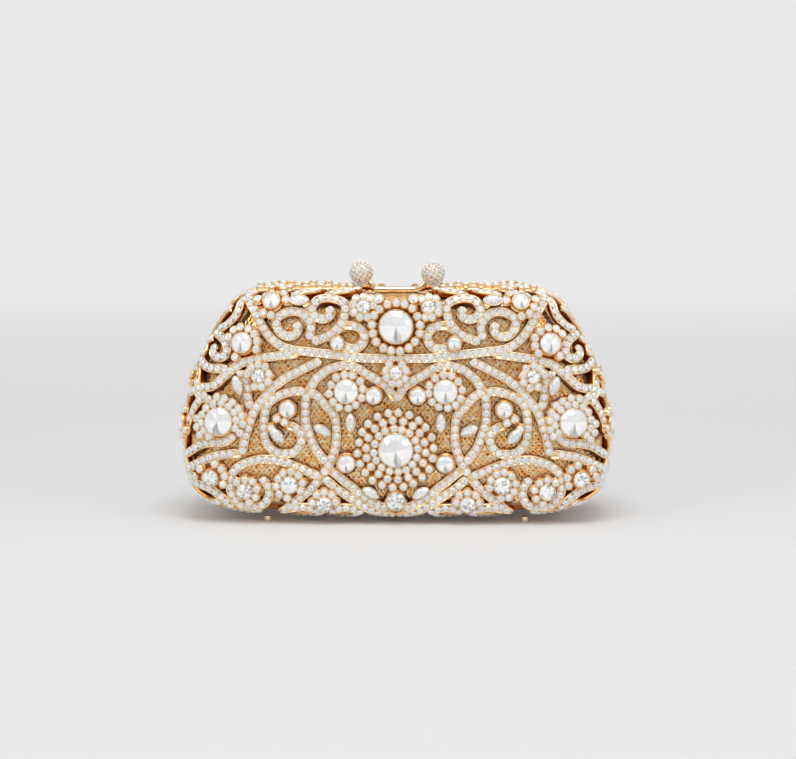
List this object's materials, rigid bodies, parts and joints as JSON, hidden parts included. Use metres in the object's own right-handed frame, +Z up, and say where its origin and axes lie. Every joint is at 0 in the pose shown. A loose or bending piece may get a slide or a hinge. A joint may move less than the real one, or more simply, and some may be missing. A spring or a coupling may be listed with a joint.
{
  "type": "minaudiere",
  "caption": "Hard openwork evening case of two hinged half shells with scroll cages, set crystals, mesh backing and a two-ball snap clasp.",
  "frame": {"origin": "middle of the parting plane at the floor, on the underside of the feet", "axes": "+X to the right seen from the front, +Y to the rear, +Z up"},
  "size_m": [0.1868, 0.0646, 0.1093],
  "materials": {
    "antique_gold": "gilded casting with dark recesses",
    "gold_mesh": "fine woven gold mesh",
    "polished_gold": "polished gilt",
    "lining": "gold leatherette",
    "crystal": "faceted and foil-backed",
    "pave_ball": "set all over with small crystals"
  },
  "bodies": {
    "rear_half": {"rear_cage": "antique_gold", "rear_settings": "antique_gold", "rear_mesh_tray": "gold_mesh", "rear_lining": "lining", "rear_frame": "polished_gold", "rear_centre_crystals": "crystal", "rear_large_crystals": "crystal", "rear_round_crystals": "crystal", "rear_rosette_crystals": "crystal", "rear_navette_crystals": "crystal", "rear_side_crystals": "crystal", "rear_clasp_horn": "polished_gold", "rear_clasp_ball": "pave_ball", "rear_hinge_leaf_left": "polished_gold", "rear_hinge_leaf_right": "polished_gold", "rear_feet": "polished_gold", "hinge_pin_left": "polished_gold", "hinge_pin_right": "polished_gold"},
    "front_half": {"front_cage": "antique_gold", "front_settings": "antique_gold", "front_mesh_tray": "gold_mesh", "front_lining": "lining", "front_frame": "polished_gold", "front_centre_crystals": "crystal", "front_large_crystals": "crystal", "front_round_crystals": "crystal", "front_rosette_crystals": "crystal", "front_navette_crystals": "crystal", "front_side_crystals": "crystal", "front_clasp_horn": "polished_gold", "front_clasp_ball": "pave_ball", "front_hinge_leaf_left": "polished_gold", "front_hinge_leaf_right": "polished_gold", "front_feet": "polished_gold"}
  },
  "joints": [
    {"name": "front_half_opens", "type": "hinge", "parent": "rear_half", "child": "front_half", "pos_m": [0, 0, 0.0034], "axis": [1, 0, 0], "range_deg": [0, 75]}
  ]
}
